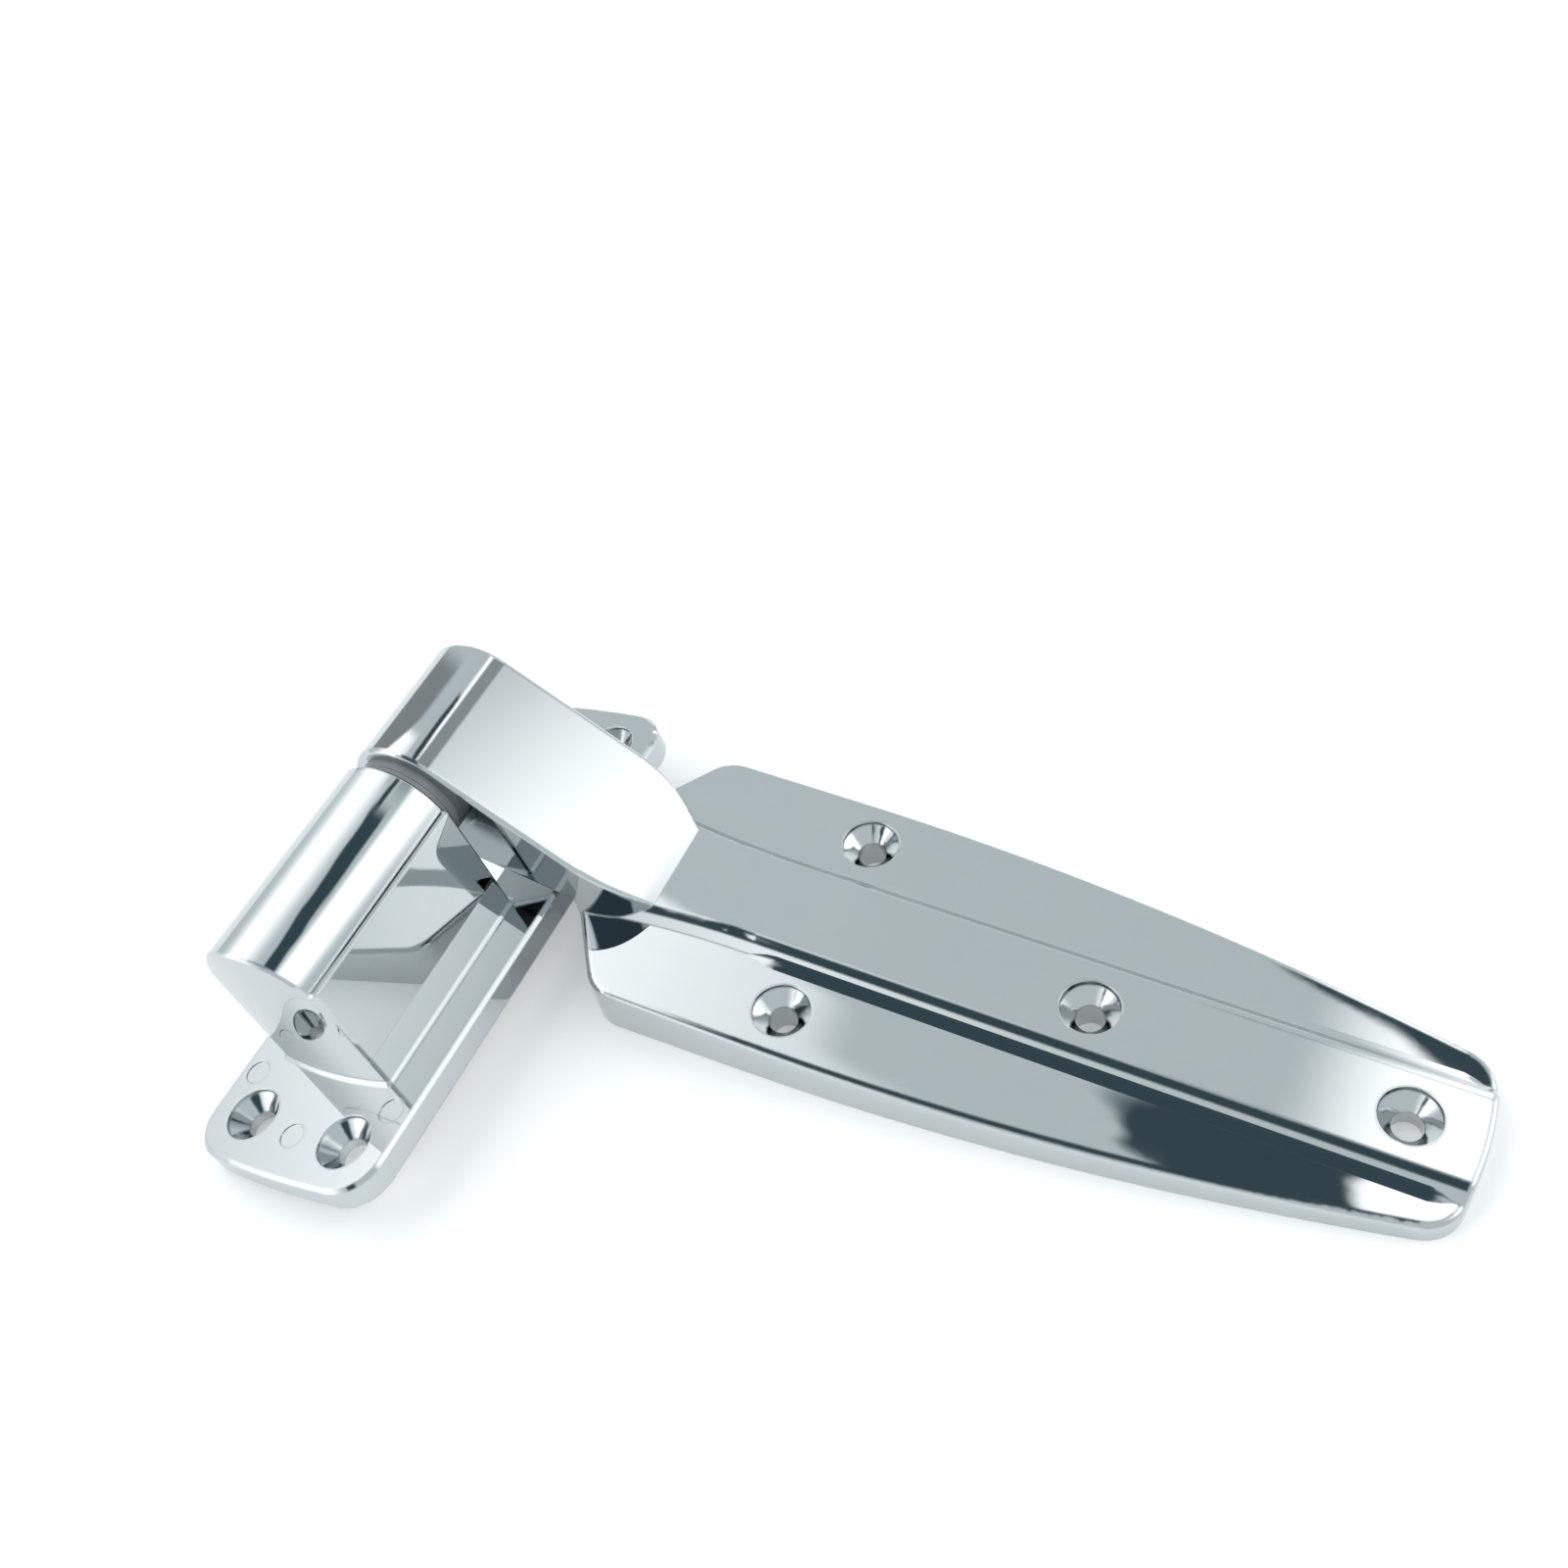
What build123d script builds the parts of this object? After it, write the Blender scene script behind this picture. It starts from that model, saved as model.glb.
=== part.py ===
import math
import os
from build123d import *

os.makedirs("parts", exist_ok=True)

# Driving dimensions, in millimetres and degrees.
# The origin is midway between the strap's wing screws, on the strap's back.
# A reach is measured along X from the hinge axis, a half across from the middle line.
wing_hole_reach = 92.5
axis_height = 40.0
knuckle_r = 15.0
knuckle_half = 17.5
knuckle_gap = 4.0

# Strap
strap_reach = 235.5
strap_half = 35.2
root_reach = 37.5
shoulder_reach = 50.0
shoulder_r = 9.0
root_thickness = 14.0
side_bend_reach = 85.0
tip_thickness = 5.0
tip_half = 20.0
tip_bow = 2.6
tip_corner_r = 9.0
wing_hole_half = 24.0
mid_hole_reach = 154.0
tip_hole_reach = 220.0
strap_wall = 4.0
strap_rim = 4.5
boss_r = 8.5

# Arm and band, raised along the middle of the strap
band_foot_half = 13.6
band_rise = 2.8
band_slope = 45.0
band_lip = 1.3
band_neck_reach = 41.0
band_neck_half = 16.9
band_neck_end = 80.0
arm_slope = 34.3
arm_straight = 38.0
arm_foot_height = 17.5
crease_reach = 54.5
arm_neck_reach = 38.0
arm_end_reach = 58.0
arm_end_half = 8.5

# Flange
flange_tilt = 12.79
flange_half = 26.5
flange_low = -101.0
flange_high = 40.0
flange_thickness = 6.4
flange_bow = 1.5
flange_corner_r = 10.0
flange_hole_half = 14.25
flange_hole_end = 12.3
flange_wall = 6.0
block_len = 53.5
block_half = 16.4
block_ledge = 3.4
block_step = 0.2
block_end_r = 90.0
ejector_r = 3.0
ejector_depth = 0.2
ejector_half = 21.0
ejector_end = 10.3
ejector_step = 11.7

# Screw holes
screw_r = 3.25
sink_r = 6.5
sink_angle = 90.0
sink_lip = 0.7

# Pin and bearings
pin_r = 6.0
pin_seat = 38.0
pin_reach = 27.0
pin_chamfer = 0.8
collar_r = 12.5
bush_wall = 2.5
bearing_clearance = 0.05
face_clearance = 0.1
end_clearance = 1.5

# Edge rounding
rim_chamfer = 0.9
block_chamfer = 0.6
foot_chamfer = 0.8
edge_r = 1.2
band_r = 3.0
cove_r = 4.0
cove_dip = 0.03
wing_edge_r = 1.5

# Positions along X and Y
hinge_x = -wing_hole_reach
root_x = hinge_x + root_reach
shoulder_x = hinge_x + shoulder_reach
mid_hole_x = hinge_x + mid_hole_reach
tip_hole_x = hinge_x + tip_hole_reach
tip_x = hinge_x + strap_reach
knuckle_low = -knuckle_half
block_top = knuckle_low - knuckle_gap

# The flange is turned about the hinge axis, and its far edge lies level with the strap's back.
tilt = math.radians(flange_tilt)
flange_drop = (axis_height - flange_half * math.sin(tilt)) / math.cos(tilt)
flange_frame = Plane(
    origin=(hinge_x, 0, axis_height),
    x_dir=(math.cos(tilt), 0, math.sin(tilt)),
    z_dir=(-math.sin(tilt), 0, math.cos(tilt)),
)
flange_back = flange_frame.offset(-flange_drop)
block_frame = Plane(
    origin=flange_frame.from_local_coords((0, block_top, 0)),
    x_dir=flange_frame.x_dir,
    z_dir=(0, -1, 0),
)
strap_side = Plane(origin=(0, 0, 0), x_dir=(1, 0, 0), z_dir=(0, -1, 0))

# Selectors compare positions to this tolerance.
near = 0.01


def axis_plane(y):
    return Plane(origin=(hinge_x, y, axis_height), x_dir=(1, 0, 0), z_dir=(0, 1, 0))


# Flange casting: a base plate, with a block and a barrel on its lower half.
plate_top = flange_thickness - flange_drop
flange_mid = (flange_low + flange_high) / 2
flange_hole_pitch = flange_high - flange_low - 2 * flange_hole_end
block_sunk = plate_top - flange_thickness / 2
block_end = block_top - block_len
block_core_half = block_half - flange_wall
block_core_top = -pin_r - flange_wall
ejector_y = flange_low + ejector_end
ejector_points = [
    (0, ejector_y),
    (ejector_half, ejector_y + ejector_step),
    (-ejector_half, ejector_y + ejector_step),
]

# The block's ends stand a step back from the barrel's, and both lower ends are bowed alike.
with BuildPart() as block:
    with BuildSketch(block_frame.offset(block_step)):
        with Locations((0, (block_sunk + block_ledge) / 2)):
            Rectangle(2 * block_half, block_ledge - block_sunk)
    extrude(amount=block_len)
    with BuildSketch(flange_back):
        with Locations((0, block_end + block_end_r)):
            Circle(block_end_r - block_step)
    extrude(amount=flange_drop + knuckle_r, mode=Mode.INTERSECT)
    sunk_face = block.faces().sort_by(Axis(flange_frame.origin, flange_frame.z_dir))[0]
    chamfer(block.edges() - sunk_face.edges(), length=block_chamfer)

with BuildPart() as barrel:
    with BuildSketch(block_frame):
        Circle(knuckle_r)
    extrude(amount=block_len)
    with BuildSketch(flange_back):
        with Locations((0, block_end + block_end_r)):
            Circle(block_end_r)
    extrude(amount=flange_drop + knuckle_r, mode=Mode.INTERSECT)
    chamfer(barrel.edges().filter_by(GeomType.LINE, reverse=True), length=block_chamfer)

with BuildPart() as flange:
    with BuildSketch(flange_back):
        with BuildLine():
            Line((flange_half, flange_low + flange_bow), (flange_half, flange_high - flange_bow))
            ThreePointArc(
                (flange_half, flange_high - flange_bow),
                (0, flange_high),
                (-flange_half, flange_high - flange_bow),
            )
            Line((-flange_half, flange_high - flange_bow), (-flange_half, flange_low + flange_bow))
            ThreePointArc(
                (-flange_half, flange_low + flange_bow),
                (0, flange_low),
                (flange_half, flange_low + flange_bow),
            )
        plate_face = make_face()
        fillet(plate_face.vertices(), radius=flange_corner_r)
    extrude(amount=flange_thickness)
    rim = flange.faces().sort_by(Axis(flange_frame.origin, flange_frame.z_dir))[-1].edges()
    chamfer(rim, length=rim_chamfer)
    add(block.part)
    add(barrel.part)
    foot_edges = [
        e
        for e in flange.edges()
        if abs(flange_frame.to_local_coords(e.center()).Z - plate_top) < near
        and abs(flange_frame.to_local_coords(e.center()).X) < block_half + near
        and block_end - near < e.center().Y < block_top + near
    ]
    chamfer(foot_edges, length=foot_chamfer)
    with Locations(flange_frame.offset(plate_top - sink_lip)):
        with Locations((0, flange_mid)):
            with GridLocations(2 * flange_hole_half, flange_hole_pitch, 2, 2):
                CounterSinkHole(screw_r, sink_r, flange_thickness, sink_angle)
    with BuildSketch(flange_frame.offset(plate_top)):
        with Locations(*ejector_points):
            Circle(ejector_r)
    extrude(amount=-ejector_depth, mode=Mode.SUBTRACT)
    with BuildSketch(flange_back):
        with Locations((0, block_top - block_len / 2)):
            RectangleRounded(2 * block_core_half, block_len - 2 * flange_wall, flange_wall / 2)
    extrude(amount=block_core_top + flange_drop, mode=Mode.SUBTRACT)
    with BuildSketch(axis_plane(block_top)):
        Circle(pin_r)
    extrude(amount=-pin_seat, mode=Mode.SUBTRACT)

flange.part.label = "flange"
export_step(flange.part, "parts/flange.step")

# Strap casting: wedge-shaped wings, a raised band with sloped sides, an arm up to the knuckle.
wing_slope = (root_thickness - tip_thickness) / (strap_reach - root_reach)
high_z = axis_height + 2 * knuckle_r
arm_turn = math.radians(arm_slope)
arm_dir = (math.cos(arm_turn), -math.sin(arm_turn))
arm_start = (hinge_x + knuckle_r * math.sin(arm_turn), axis_height + knuckle_r * math.cos(arm_turn))
arm_bend = (arm_start[0] + arm_straight * arm_dir[0], arm_start[1] + arm_straight * arm_dir[1])
foot_fall = arm_foot_height - axis_height
under_turn = math.atan2(foot_fall, root_reach) - math.acos(knuckle_r / math.hypot(root_reach, foot_fall))
under_start = (
    hinge_x + knuckle_r * math.cos(under_turn),
    axis_height + knuckle_r * math.sin(under_turn),
)
tip_r = (tip_half**2 + tip_bow**2) / (2 * tip_bow)
tip_end_x = tip_x + tip_r
band_sunk = strap_wall / 2
band_spread = band_sunk / math.tan(math.radians(band_slope))
neck_start = (hinge_x + band_neck_reach, band_neck_half + band_spread)
neck_end = (hinge_x + band_neck_end, band_foot_half + band_spread)
screw_points = [(0, wing_hole_half), (0, -wing_hole_half), (mid_hole_x, 0), (tip_hole_x, 0)]


def wing_top(x):
    return root_thickness - wing_slope * (x - root_x)


def band_top(x):
    return wing_top(x) + band_rise


crease = (hinge_x + crease_reach, band_top(hinge_x + crease_reach))
wing_plane = Plane(origin=(0, 0, wing_top(0)), x_dir=(1, 0, -wing_slope), z_dir=(wing_slope, 0, 1))

with BuildSketch() as wing_plan:
    with BuildLine():
        root = Line((root_x, 0), (root_x, knuckle_half))
        flank = Line(root @ 1, (shoulder_x, strap_half))
        side = Line(flank @ 1, (hinge_x + side_bend_reach, strap_half))
        leaf = TangentArc(side @ 1, (tip_x - tip_bow, tip_half), tangent=(1, 0))
        ThreePointArc(leaf @ 1, (tip_x, 0), (tip_x - tip_bow, -tip_half))
        mirror(root, about=Plane.XZ)
        mirror(flank, about=Plane.XZ)
        mirror(side, about=Plane.XZ)
        mirror(leaf, about=Plane.XZ)
    make_face()
    fillet(wing_plan.vertices().group_by(Axis.X)[-1], radius=tip_corner_r)
    shoulders = [v for v in wing_plan.vertices() if abs(v.X - shoulder_x) < near]
    fillet(shoulders, radius=shoulder_r)

with BuildPart() as band:
    with BuildSketch(wing_plane.offset(-band_sunk)):
        with BuildLine():
            neck = TangentArc(neck_end, neck_start, tangent=(-1, 0))
            straight = Polyline(neck_end, (tip_end_x, neck_end[1]), (tip_end_x, 0))
            back = Line(neck_start, (neck_start[0], 0))
            mirror(neck, about=Plane.XZ)
            mirror(straight, about=Plane.XZ)
            mirror(back, about=Plane.XZ)
        make_face()
    extrude(amount=band_sunk + band_rise, taper=90 - band_slope)
    extrude(wing_plan.sketch, amount=high_z, mode=Mode.INTERSECT)
    crown = max(band.faces(), key=lambda f: f.normal_at().Z)
    fillet([e for e in crown.edges() if abs(e.center().Y) > near], radius=band_r)
    end_face = band.faces().sort_by(Axis.X)[-1]
    fillet(end_face.edges() - end_face.edges().sort_by(Axis.Z)[:1], radius=edge_r)

# Cove along the band's foot; its arc dips a little so that it cuts into band and wing.
half_turn = math.radians(band_slope) / 2
cove_run = cove_r * math.tan(half_turn)
cove_x = hinge_x + band_neck_end
cove_plane = Plane(
    origin=(cove_x, band_foot_half + cove_run - cove_dip * math.sin(half_turn), wing_top(cove_x)),
    x_dir=(0, 1, 0),
    z_dir=(1, 0, -wing_slope),
)


def cove_point(turn):
    return (-cove_r * math.sin(turn), cove_r - cove_dip - cove_r * math.cos(turn))


with BuildPart() as cove:
    with BuildSketch(cove_plane):
        with BuildLine():
            ThreePointArc(cove_point(0), cove_point(half_turn), cove_point(2 * half_turn))
            Polyline(cove_point(2 * half_turn), (-2 * cove_run, -cove_run), cove_point(0))
        make_face()
    extrude(amount=tip_x - 2 * tip_bow - cove_x)
    mirror(about=Plane.XZ)

with BuildPart() as arm:
    with BuildSketch(strap_side):
        with BuildLine():
            Line(arm_start, arm_bend)
            bend = TangentArc(arm_bend, crease, tangent=arm_dir)
            buried = Line(crease, bend @ 1 + bend % 1 * band_rise)
            Polyline(
                buried @ 1,
                ((buried @ 1).X, 0),
                (root_x, 0),
                (root_x, arm_foot_height),
                under_start,
            )
            ThreePointArc(under_start, (hinge_x - knuckle_r, axis_height), arm_start)
        make_face()
    extrude(amount=knuckle_half, both=True)
    with BuildSketch():
        with BuildLine():
            sleeve = Polyline(
                (hinge_x - 2 * knuckle_r, 0),
                (hinge_x - 2 * knuckle_r, knuckle_half),
                (hinge_x + arm_neck_reach, knuckle_half),
            )
            neck = TangentArc(sleeve @ 1, (hinge_x + arm_end_reach, arm_end_half), tangent=(1, 0))
            foot = Line(neck @ 1, (hinge_x + arm_end_reach, 0))
            mirror(sleeve, about=Plane.XZ)
            mirror(neck, about=Plane.XZ)
            mirror(foot, about=Plane.XZ)
        make_face()
    extrude(amount=high_z, mode=Mode.INTERSECT)
    crown_edges = [
        e
        for f in arm.faces()
        if f.center().Z > root_thickness and abs(f.normal_at().Y) < near and f.normal_at().Z > -0.5
        for e in f.edges()
        if abs(e.center().Y) > near
    ]
    fillet(crown_edges, radius=edge_r)

# Hollow in the strap's back, open below, with a boss left round each screw.
core_end_x = tip_hole_x - boss_r
leaf_mid = leaf @ 0.5

with BuildPart() as core:
    with BuildSketch():
        with BuildLine():
            core_side = Polyline(
                (root_x + strap_rim, 0),
                (root_x + strap_rim, knuckle_half),
                (shoulder_x + strap_rim, strap_half - strap_rim),
                (hinge_x + side_bend_reach, strap_half - strap_rim),
                (leaf_mid.X, leaf_mid.Y - strap_rim),
                (tip_x - strap_rim, tip_half - strap_rim),
                (tip_x - strap_rim, 0),
            )
            mirror(core_side, about=Plane.XZ)
        make_face()
        with Locations(*screw_points):
            Circle(boss_r, mode=Mode.SUBTRACT)
    extrude(amount=root_thickness)
    with BuildSketch(strap_side):
        Polygon(
            (root_x, 0),
            (core_end_x, 0),
            (core_end_x, wing_top(core_end_x) - strap_wall),
            (root_x, wing_top(root_x) - strap_wall),
            align=None,
        )
    extrude(amount=strap_half, both=True, mode=Mode.INTERSECT)

with BuildPart() as strap:
    add(wing_plan.sketch)
    extrude(amount=high_z)
    with BuildSketch(strap_side):
        Polygon(
            (root_x, 0),
            (tip_x, 0),
            (tip_x, wing_top(tip_x)),
            (root_x, wing_top(root_x)),
            align=None,
        )
    extrude(amount=2 * strap_half, both=True, mode=Mode.INTERSECT)
    wing_edges = [
        e
        for e in strap.edges()
        if abs(e.center().Z - wing_top(e.center().X)) < near and e.center().X > root_x + near
    ]
    fillet(wing_edges, radius=wing_edge_r)
    add(band.part)
    add(cove.part)
    add(arm.part)
    with Locations((0, 0, wing_top(0) - sink_lip)):
        with GridLocations(0, 2 * wing_hole_half, 1, 2):
            CounterSinkHole(screw_r, sink_r, root_thickness, sink_angle)
    for x in (mid_hole_x, tip_hole_x):
        with Locations((x, 0, band_top(x) - band_lip)):
            CounterSinkHole(screw_r, sink_r, root_thickness, sink_angle)
    add(core.part, mode=Mode.SUBTRACT)
    with BuildSketch(axis_plane(knuckle_low)):
        Circle(pin_r + bearing_clearance + bush_wall)
    extrude(amount=pin_reach + end_clearance, mode=Mode.SUBTRACT)

strap.part.label = "strap"
export_step(strap.part, "parts/strap.step")

# Pivot pin, pressed into the flange's barrel.
pin_low = block_top - pin_seat
pin_high = knuckle_low + pin_reach

with BuildPart() as hinge_pin:
    with BuildSketch(axis_plane(pin_low)):
        Circle(pin_r)
    extrude(amount=pin_high - pin_low)
    chamfer(hinge_pin.edges().filter_by(GeomType.CIRCLE), length=pin_chamfer)

hinge_pin.part.label = "hinge_pin"
export_step(hinge_pin.part, "parts/hinge_pin.step")

# Thrust washer, lying on the barrel's upper end round the pin.
collar_thickness = (knuckle_gap - face_clearance) / 2

with BuildPart() as thrust_washer:
    with BuildSketch(axis_plane(block_top)):
        Circle(collar_r)
        Circle(pin_r + bearing_clearance, mode=Mode.SUBTRACT)
    extrude(amount=collar_thickness)

thrust_washer.part.label = "thrust_washer"
export_step(thrust_washer.part, "parts/thrust_washer.step")

# Flanged bush, pressed into the strap's knuckle from below.
with BuildPart() as bearing_bush:
    with BuildSketch(axis_plane(knuckle_low)):
        Circle(pin_r + bearing_clearance + bush_wall)
    extrude(amount=pin_reach)
    with BuildSketch(axis_plane(knuckle_low)):
        Circle(collar_r)
    extrude(amount=-collar_thickness)
    with BuildSketch(axis_plane(knuckle_low - collar_thickness)):
        Circle(pin_r + bearing_clearance)
    extrude(amount=collar_thickness + pin_reach, mode=Mode.SUBTRACT)

bearing_bush.part.label = "bearing_bush"
export_step(bearing_bush.part, "parts/bearing_bush.step")
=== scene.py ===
import math
import bmesh
import bpy
from mathutils import Matrix, Vector


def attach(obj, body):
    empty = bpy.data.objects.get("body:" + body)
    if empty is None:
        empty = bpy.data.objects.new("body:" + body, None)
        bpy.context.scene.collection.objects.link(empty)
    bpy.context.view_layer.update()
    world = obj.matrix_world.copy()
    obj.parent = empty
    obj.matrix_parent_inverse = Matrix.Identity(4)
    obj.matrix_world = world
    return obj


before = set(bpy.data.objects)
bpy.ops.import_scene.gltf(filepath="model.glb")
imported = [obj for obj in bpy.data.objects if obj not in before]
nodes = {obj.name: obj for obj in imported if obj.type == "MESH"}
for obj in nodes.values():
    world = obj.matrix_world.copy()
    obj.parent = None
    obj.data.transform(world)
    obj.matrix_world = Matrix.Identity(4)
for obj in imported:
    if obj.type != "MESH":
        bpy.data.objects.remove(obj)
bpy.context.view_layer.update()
scene = bpy.context.scene
print("stage 1: frame loaded,", len(nodes), "nodes")


# colours are written as sRGB hex and turned to linear here
def hexColour(code):
    parts = [int(code[i:i + 2], 16) / 255 for i in (0, 2, 4)]
    linear = [c / 12.92 if c <= 0.04045 else ((c + 0.055) / 1.055) ** 2.4 for c in parts]
    return (*linear, 1.0)


# adds one node: settings are its properties, values its sockets, links its inputs
def addNode(tree, kind, settings=None, values=None, links=None):
    node = tree.nodes.new(kind)
    for name, value in (settings or {}).items():
        setattr(node, name, value)
    for socket, value in (values or {}).items():
        node.inputs[socket].default_value = value
    for socket, source in (links or {}).items():
        tree.links.new(source, node.inputs[socket])
    return node


def newMaterial(name):
    material = bpy.data.materials.new(name)
    material.use_nodes = True
    material.node_tree.nodes.clear()
    return material, material.node_tree


def perMetre(sizeMm):  # texture scale for a pattern of this size
    return 1000.0 / sizeMm


# bright chromium over buffed zinc: a cold mirror, a little wavy from hand buffing
chrome = {
    "face": "C5C9CA",
    "cool": "C0C6C8",
    "castBack": "A9ADAF",
    "edgeMm": 0.7,
    "waveMm": 30.0,
    "waveHeightMm": 0.06,
    "peelMm": 2.6,
    "peelHeightMm": 0.0006,
    "hazeMm": 9.0,
    "roughLow": 0.012,
    "roughHigh": 0.03,
    "castRough": 0.34,
    "castGrainMm": 1.1,
    "castGrainHeightMm": 0.04,
    "backFrom": 0.75,  # how squarely a face looks backwards before it counts as the cast back
    "backFull": 0.95,
}


def chromePlate(name, backNormal):
    material, tree = newMaterial(name)
    place = addNode(tree, "ShaderNodeTexCoord")
    at = place.outputs["Object"]
    # the cored back keeps its cast skin, plated but not buffed
    facing = addNode(tree, "ShaderNodeVectorMath", {"operation": "DOT_PRODUCT"}, {1: backNormal},
                     {0: place.outputs["Normal"]})
    back = addNode(tree, "ShaderNodeMapRange", {"interpolation_type": "SMOOTHSTEP"},
                   {"From Min": chrome["backFrom"], "From Max": chrome["backFull"]},
                   {"Value": facing.outputs["Value"]})
    haze = addNode(tree, "ShaderNodeTexNoise", None,
                   {"Scale": perMetre(chrome["hazeMm"]), "Detail": 3.0, "Roughness": 0.6}, {"Vector": at})
    tint = addNode(tree, "ShaderNodeMix", {"data_type": "RGBA"},
                   {"A": hexColour(chrome["face"]), "B": hexColour(chrome["cool"])},
                   {"Factor": haze.outputs["Fac"]})
    skin = addNode(tree, "ShaderNodeMix", {"data_type": "RGBA"}, {"B": hexColour(chrome["castBack"])},
                   {"Factor": back.outputs["Result"], "A": tint.outputs["Result"]})
    buffed = addNode(tree, "ShaderNodeMapRange", None,
                     {"From Min": 0.3, "From Max": 0.7, "To Min": chrome["roughLow"],
                      "To Max": chrome["roughHigh"]}, {"Value": haze.outputs["Fac"]})
    gloss = addNode(tree, "ShaderNodeMix", {"data_type": "FLOAT"}, {"B": chrome["castRough"]},
                    {"Factor": back.outputs["Result"], "A": buffed.outputs["Result"]})
    wave = addNode(tree, "ShaderNodeTexNoise", None,
                   {"Scale": perMetre(chrome["waveMm"]), "Detail": 0.0}, {"Vector": at})
    peel = addNode(tree, "ShaderNodeTexNoise", None,
                   {"Scale": perMetre(chrome["peelMm"]), "Detail": 1.0}, {"Vector": at})
    grain = addNode(tree, "ShaderNodeTexNoise", None,
                    {"Scale": perMetre(chrome["castGrainMm"]), "Detail": 2.0}, {"Vector": at})
    # buffing rounds every edge a little
    edges = addNode(tree, "ShaderNodeBevel", {"samples": 3}, {"Radius": chrome["edgeMm"] / 1000})
    wavy = addNode(tree, "ShaderNodeBump", None, {"Distance": chrome["waveHeightMm"] / 1000},
                   {"Height": wave.outputs["Fac"], "Normal": edges.outputs["Normal"]})
    peeled = addNode(tree, "ShaderNodeBump", None, {"Distance": chrome["peelHeightMm"] / 1000},
                     {"Height": peel.outputs["Fac"], "Normal": wavy.outputs["Normal"]})
    grained = addNode(tree, "ShaderNodeBump", None, {"Distance": chrome["castGrainHeightMm"] / 1000},
                      {"Height": grain.outputs["Fac"], "Strength": back.outputs["Result"],
                       "Normal": peeled.outputs["Normal"]})
    shader = addNode(tree, "ShaderNodeBsdfPrincipled", None, {"Metallic": 1.0},
                     {"Base Color": skin.outputs["Result"], "Roughness": gloss.outputs["Result"],
                      "Normal": grained.outputs["Normal"]})
    addNode(tree, "ShaderNodeOutputMaterial", None, None, {"Surface": shader.outputs["BSDF"]})
    return material


# ground bearing steel: darker than chrome, with fine rings from centreless grinding
groundSteel = {"face": "9B9C9C", "line": "87898A", "ringMm": 0.5, "ringHeightMm": 0.004, "roughLow": 0.16,
               "roughHigh": 0.28}
waveRepeat = 20  # a wave texture shows about this many bands per unit of its scale


def groundPin(name):
    material, tree = newMaterial(name)
    place = addNode(tree, "ShaderNodeTexCoord")
    rings = addNode(tree, "ShaderNodeTexWave", {"bands_direction": "Y"},
                    {"Scale": perMetre(groundSteel["ringMm"]) / waveRepeat, "Distortion": 1.5, "Detail": 2.0},
                    {"Vector": place.outputs["Object"]})
    colour = addNode(tree, "ShaderNodeMix", {"data_type": "RGBA"},
                     {"A": hexColour(groundSteel["face"]), "B": hexColour(groundSteel["line"])},
                     {"Factor": rings.outputs["Fac"]})
    gloss = addNode(tree, "ShaderNodeMapRange", None,
                    {"To Min": groundSteel["roughLow"], "To Max": groundSteel["roughHigh"]},
                    {"Value": rings.outputs["Fac"]})
    bump = addNode(tree, "ShaderNodeBump", None, {"Distance": groundSteel["ringHeightMm"] / 1000},
                   {"Height": rings.outputs["Fac"]})
    shader = addNode(tree, "ShaderNodeBsdfPrincipled", None, {"Metallic": 1.0},
                     {"Base Color": colour.outputs["Result"], "Roughness": gloss.outputs["Result"],
                      "Normal": bump.outputs["Normal"]})
    addNode(tree, "ShaderNodeOutputMaterial", None, None, {"Surface": shader.outputs["BSDF"]})
    return material


# moulded acetal: a waxy mid grey with a faint mottle and fine mould texture
acetal = {"face": "8E9294", "dull": "83878A", "mottleMm": 4.0, "textureMm": 0.5, "textureHeightMm": 0.01,
          "roughLow": 0.38, "roughHigh": 0.5, "ior": 1.48}


def mouldedAcetal(name):
    material, tree = newMaterial(name)
    place = addNode(tree, "ShaderNodeTexCoord")
    mottle = addNode(tree, "ShaderNodeTexNoise", None,
                     {"Scale": perMetre(acetal["mottleMm"]), "Detail": 2.0},
                     {"Vector": place.outputs["Object"]})
    fine = addNode(tree, "ShaderNodeTexNoise", None,
                   {"Scale": perMetre(acetal["textureMm"])}, {"Vector": place.outputs["Object"]})
    colour = addNode(tree, "ShaderNodeMix", {"data_type": "RGBA"},
                     {"A": hexColour(acetal["face"]), "B": hexColour(acetal["dull"])},
                     {"Factor": mottle.outputs["Fac"]})
    gloss = addNode(tree, "ShaderNodeMapRange", None,
                    {"To Min": acetal["roughLow"], "To Max": acetal["roughHigh"]},
                    {"Value": mottle.outputs["Fac"]})
    bump = addNode(tree, "ShaderNodeBump", None, {"Distance": acetal["textureHeightMm"] / 1000},
                   {"Height": fine.outputs["Fac"]})
    shader = addNode(tree, "ShaderNodeBsdfPrincipled", None, {"IOR": acetal["ior"]},
                     {"Base Color": colour.outputs["Result"], "Roughness": gloss.outputs["Result"],
                      "Normal": bump.outputs["Normal"]})
    addNode(tree, "ShaderNodeOutputMaterial", None, None, {"Surface": shader.outputs["BSDF"]})
    return material


tilt = math.radians(12.79)  # the flange lies turned about the pin
finishes = {
    "strap": chromePlate("buffedChromePlateStrap", (0.0, 0.0, -1.0)),
    "flange": chromePlate("buffedChromePlateFlange", (math.sin(tilt), 0.0, -math.cos(tilt))),
    "hinge_pin": groundPin("groundBearingSteel"),
}
finishes["thrust_washer"] = finishes["bearing_bush"] = mouldedAcetal("mouldedAcetalGrey")
for name, node in nodes.items():
    node.data.materials.clear()
    node.data.materials.append(finishes[name])
print("stage 2: finishes on", ", ".join(sorted(nodes)))

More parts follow.
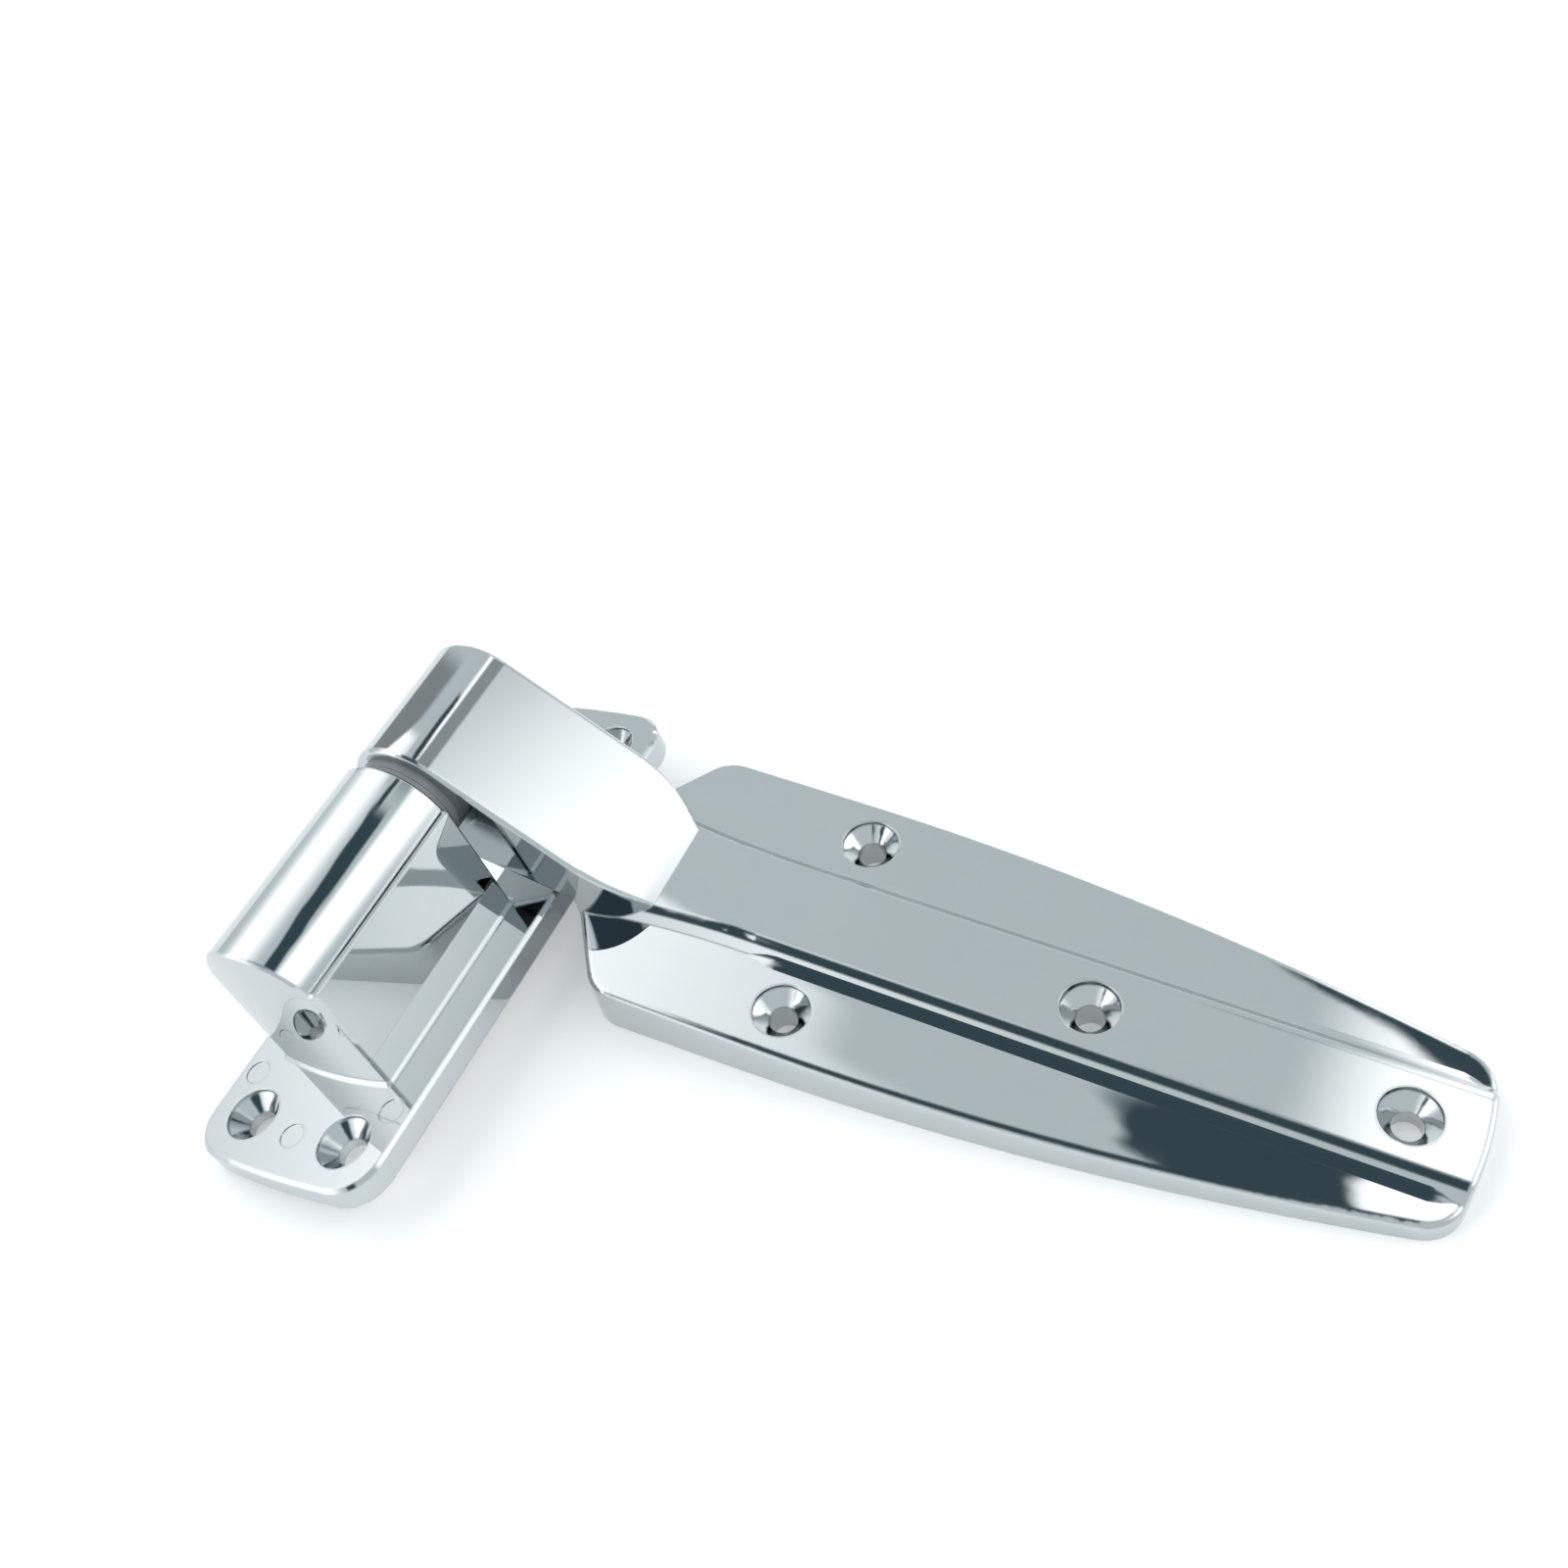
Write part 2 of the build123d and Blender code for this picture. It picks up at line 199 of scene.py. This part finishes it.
# the casting's hollow along the foot of the raised band, where the solid has a sharp corner
wing = {"rootX": -0.055, "rootTop": 0.014, "fall": 9 / 198}
footHollow = {
    "half": 0.0136,  # from the strap's middle to the corner
    "radius": 0.004,
    "lean": 45.0,
    "start": -0.0135,
    "end": 0.1395,
    "runIn": 0.006,
    "runOut": 0.004,
    "least": 0.03,  # share of the radius left at the very ends
    "stations": 64,
    "steps": 14,
    "lead": 0.001,  # flat lips that dip under the casting's faces
    "dip": 0.00001,
    "sink": 0.0006,
    "sharpFrom": 30.0,
}


def hollowSection(x):
    lean = math.radians(footHollow["lean"])
    run = min((x - footHollow["start"]) / footHollow["runIn"], (footHollow["end"] - x) / footHollow["runOut"])
    radius = footHollow["radius"] * min(1.0, run + footHollow["least"])
    tangent = footHollow["half"] + radius * math.tan(lean / 2)
    top = wing["rootTop"] - (x - wing["rootX"]) * wing["fall"]
    lead, dip, sink = footHollow["lead"], footHollow["dip"], footHollow["sink"]
    section = [(tangent + lead, top - dip)]
    for step in range(footHollow["steps"] + 1):
        angle = lean * step / footHollow["steps"]
        section.append((tangent - radius * math.sin(angle), top + radius * (1 - math.cos(angle))))
    lastY, lastZ = section[-1]
    section.append((lastY - lead * math.cos(lean) - dip * math.sin(lean),
                    lastZ + lead * math.sin(lean) - dip * math.cos(lean)))
    section.append((footHollow["half"] - sink, top - sink))
    return section


for side, name in ((-1, "footHollowNear"), (1, "footHollowFar")):
    shape = bmesh.new()
    rings = []
    for station in range(footHollow["stations"] + 1):
        x = footHollow["start"] + (footHollow["end"] - footHollow["start"]) * station / footHollow["stations"]
        rings.append([shape.verts.new((x, side * y, z)) for y, z in hollowSection(x)])
    for ring, following in zip(rings, rings[1:]):
        for k in range(len(ring)):
            n = (k + 1) % len(ring)
            shape.faces.new((ring[k], ring[n], following[n], following[k])).smooth = k < len(ring) - 2
    shape.faces.new(rings[0])
    shape.faces.new(rings[-1])
    bmesh.ops.recalc_face_normals(shape, faces=shape.faces)
    for edge in shape.edges:
        edge.smooth = edge.calc_face_angle() < math.radians(footHollow["sharpFrom"])
    hollowMesh = bpy.data.meshes.new(name)
    shape.to_mesh(hollowMesh)
    shape.free()
    hollowMesh.materials.append(finishes["strap"])
    hollow = bpy.data.objects.new(name, hollowMesh)
    scene.collection.objects.link(hollow)
    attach(hollow, "strap_body")
print("stage 3: hollows along the band")

# plain pale floor, matt so it shows no reflection of its own
floorPlan = {"half": 40.0, "height": -0.0001, "colour": "F4F5F5", "glow": 0.33}
floorMesh = bpy.data.meshes.new("studioFloor")
half, height = floorPlan["half"], floorPlan["height"]
corners = [(-half, -half, height), (half, -half, height), (half, half, height), (-half, half, height)]
floorMesh.from_pydata(corners, [], [(0, 1, 2, 3)])
floor = bpy.data.objects.new("studioFloor", floorMesh)
scene.collection.objects.link(floor)
floorPaint, tree = newMaterial("mattStudioPaint")
paint = addNode(tree, "ShaderNodeBsdfPrincipled", None,
                {"Base Color": hexColour(floorPlan["colour"]), "Roughness": 1.0, "Specular IOR Level": 0.0,
                 "Emission Color": hexColour(floorPlan["colour"]), "Emission Strength": floorPlan["glow"]})
addNode(tree, "ShaderNodeOutputMaterial", None, None, {"Surface": paint.outputs["BSDF"]})
floorMesh.materials.append(floorPaint)

# soft studio tent: pale walls, bright cards left and right, dark flags overhead and behind the camera;
# an edge is (how much of east or X, how much of north or Y, where the card starts, where it is full)
darkCloth = ("44565F", 1.0)
studio = {
    "wall": ("E8F1F3", 0.94),
    "wobble": 0.06,
    "wobbleSize": (7.0, 40.0, 40.0),
    "cards": [
        {"name": "left glow", "paper": ("FFFFFF", 2.0),
         "edges": [(1, 0, -0.95, -0.72), (1, 0, 0.0, -0.6), (-0.095, 1, 0.507, 0.499), (0, 1, 0.452, 0.444)]},
        {"name": "ceiling", "paper": ("E8F1F3", 0.92),
         "edges": [(1, 0, -0.26, -0.22), (1, 0, 0.06, 0.0), (0, 1, 0.41, 0.425)]},
        {"name": "dim corner", "paper": ("E8F1F3", 0.42),
         "edges": [(1, 0, -0.42, -0.56), (-0.095, 1, 0.499, 0.507), (0, 1, 0.495, 0.482)]},
        {"name": "right glow", "paper": ("FFFFFF", 2.0),
         "edges": [(1, 0, 0.41, 0.56), (1, 0, 0.94, 0.84), (0, 1, 0.0, 0.2)]},
        {"name": "tip light", "paper": ("FFFFFF", 1.9),
         "edges": [(1, 0, 0.0, 0.07), (1, 0, 0.14, 0.12), (0, 1, 0.43, 0.445)]},
        {"name": "grey card", "paper": ("E8F1F3", 0.5),
         "edges": [(1, 0, 0.12, 0.14), (1, 0, 0.42, 0.39), (0, 1, 0.41, 0.43), (0, 1, 0.75, 0.65)]},
        {"name": "overhead flag", "paper": darkCloth,
         "edges": [(1, 2.2, 0.76, 0.80), (1, 0.9, 0.70, 0.68), (0, 1, 0.26, 0.28), (0, 1, 0.412, 0.40)]},
        {"name": "overhead flag, far end", "paper": darkCloth,
         "edges": [(1, 0, -0.068, -0.052), (1, 0, 0.068, 0.052), (0, 1, 0.395, 0.41), (0, 1, 0.481, 0.475)]},
        {"name": "camera flag", "paper": darkCloth,
         "edges": [(1, 0, -0.33, -0.29), (1, 0, 0.22, 0.18), (0, 1, -0.80, -0.775), (0, 1, 0.28, 0.26)]},
        {"name": "low flag", "paper": darkCloth,
         "edges": [(1, 0, -0.52, -0.47), (1, 0, 0.12, 0.07), (0, 1, -0.80, -0.775), (0, 1, -0.45, -0.6)]},
        {"name": "far bar", "paper": darkCloth,
         "edges": [(1, 0, -0.06, -0.03), (1, 0, 0.20, 0.17), (0.25, 1, 0.543, 0.550), (0, 1, 0.62, 0.6)]},
    ],
}
world = bpy.data.worlds.new("studioTent")
scene.world = world
world.use_nodes = True
tree = world.node_tree
tree.nodes.clear()
ray = addNode(tree, "ShaderNodeTexCoord").outputs["Generated"]
spread = addNode(tree, "ShaderNodeVectorMath", {"operation": "MULTIPLY"}, {1: studio["wobbleSize"]}, {0: ray})
ripple = addNode(tree, "ShaderNodeTexNoise", None, {"Scale": 1.0, "Detail": 1.0},
                 {"Vector": spread.outputs["Vector"]})
shift = addNode(tree, "ShaderNodeMapRange", None,
                {"To Min": -studio["wobble"], "To Max": studio["wobble"]}, {"Value": ripple.outputs["Fac"]})
sway = addNode(tree, "ShaderNodeCombineXYZ", None, None, {"X": shift.outputs["Result"]})
bent = addNode(tree, "ShaderNodeVectorMath", {"operation": "ADD"}, None,
               {0: ray, 1: sway.outputs["Vector"]}).outputs["Vector"]
wallColour, wallStrength = studio["wall"]
light = addNode(tree, "ShaderNodeVectorMath", {"operation": "SCALE"},
                {0: hexColour(wallColour)[:3], "Scale": wallStrength}).outputs["Vector"]
for card in studio["cards"]:
    shown = None
    along = bent if card["paper"] == darkCloth else ray  # only the dark flags hang in folds
    for eastward, northward, start, full in card["edges"]:
        reach = addNode(tree, "ShaderNodeVectorMath", {"operation": "DOT_PRODUCT"},
                        {1: (eastward, northward, 0.0)}, {0: along})
        edge = addNode(tree, "ShaderNodeMapRange", {"interpolation_type": "SMOOTHSTEP"},
                       {"From Min": start, "From Max": full},
                       {"Value": reach.outputs["Value"]}).outputs["Result"]
        shown = edge if shown is None else addNode(tree, "ShaderNodeMath", {"operation": "MULTIPLY"}, None,
                                                   {0: shown, 1: edge}).outputs[0]
    colour, strength = card["paper"]
    paper = [c * strength for c in hexColour(colour)[:3]]
    light = addNode(tree, "ShaderNodeMix", {"data_type": "RGBA"}, {"B": (*paper, 1.0)},
                    {"Factor": shown, "A": light}).outputs["Result"]
backdrop = addNode(tree, "ShaderNodeBackground", None, {"Strength": 1.0}, {"Color": light})
addNode(tree, "ShaderNodeOutputWorld", None, None, {"Surface": backdrop.outputs["Background"]})
scene.view_settings.view_transform = "Standard"
print("stage 4: floor and studio light")

# camera solved from the screw holes and straight edges, in a 1600 by 1600 frame
shot = {
    "place": (0.1310, -0.1870, 0.3298),
    "right": (0.8875372, 0.4352384, -0.1511463),
    "down": (0.2576664, -0.7408424, -0.6202907),
    "sensor": 36.0,
    "lens": 40.04,
    "nearest": 0.01,
    "middle": (783.8, 829.2),
    "frame": 1600,
}
cameraData = bpy.data.cameras.new("photoCamera")
cameraData.sensor_width = shot["sensor"]
cameraData.lens = shot["lens"]
cameraData.shift_x = (shot["frame"] / 2 - shot["middle"][0]) / shot["frame"]
cameraData.shift_y = (shot["middle"][1] - shot["frame"] / 2) / shot["frame"]
cameraData.clip_start = shot["nearest"]
camera = bpy.data.objects.new("photoCamera", cameraData)
scene.collection.objects.link(camera)
right, up = Vector(shot["right"]), -Vector(shot["down"])
turn = Matrix((right, up, right.cross(up))).transposed().to_4x4()
camera.matrix_world = Matrix.Translation(shot["place"]) @ turn
scene.camera = camera
print("stage 5: camera")
